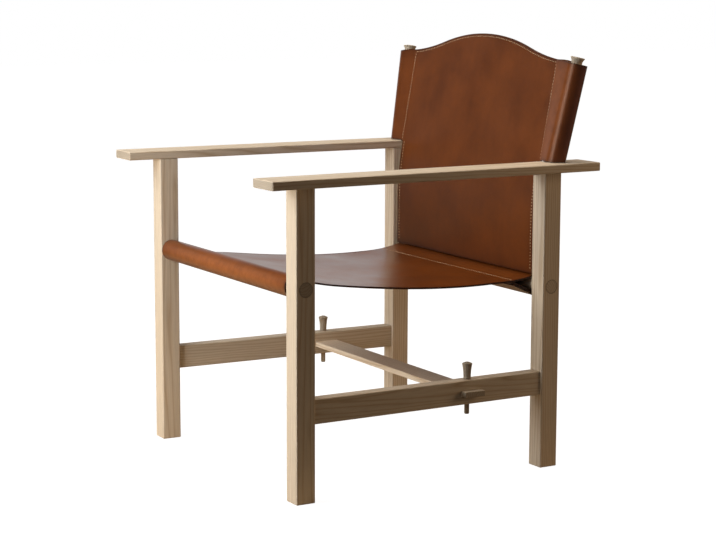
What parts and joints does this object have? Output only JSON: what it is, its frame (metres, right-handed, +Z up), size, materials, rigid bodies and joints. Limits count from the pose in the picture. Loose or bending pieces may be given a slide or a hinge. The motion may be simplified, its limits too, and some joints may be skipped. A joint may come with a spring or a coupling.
{
  "type": "leather sling lounge chair",
  "caption": "Low lounge armchair with a pale ash frame, flat armrests and pegged stretcher, a thick tan leather seat slung between round rails and an arched leather back on turned posts.",
  "frame": {"origin": "on the floor, at the centre of the chair's plan", "axes": "+Z up; the sitter faces -Y; +X is the sitter's left"},
  "size_m": [0.6518, 0.6717, 0.7812],
  "materials": {
    "ash": "soap-finished pale ash",
    "seat_leather": "smooth vegetable-tanned saddle leather",
    "back_leather": "smooth vegetable-tanned saddle leather"
  },
  "bodies": {
    "frame": {"left_front_leg": "ash", "left_rear_leg": "ash", "right_front_leg": "ash", "right_rear_leg": "ash", "left_armrest": "ash", "right_armrest": "ash", "left_side_stretcher": "ash", "right_side_stretcher": "ash", "cross_stretcher": "ash", "front_seat_rail": "ash", "rear_seat_rail": "ash", "seat_leather": "seat_leather", "back_leather": "back_leather"},
    "left_peg": {"left_locking_peg": "ash"},
    "right_peg": {"right_locking_peg": "ash"},
    "left_post": {"left_back_post": "ash"},
    "right_post": {"right_back_post": "ash"}
  },
  "joints": [
    {"name": "left_peg_lift", "type": "slide", "parent": "frame", "child": "left_peg", "axis": [0, 0, 1], "range_m": [0, 0.07]},
    {"name": "right_peg_lift", "type": "slide", "parent": "frame", "child": "right_peg", "axis": [0, 0, 1], "range_m": [0, 0.07]},
    {"name": "left_post_draw", "type": "slide", "parent": "frame", "child": "left_post", "axis": [0.0977, 0.1797, 0.9789], "range_m": [0, 0.24]},
    {"name": "right_post_draw", "type": "slide", "parent": "frame", "child": "right_post", "axis": [-0.0977, 0.1797, 0.9789], "range_m": [0, 0.24]}
  ]
}
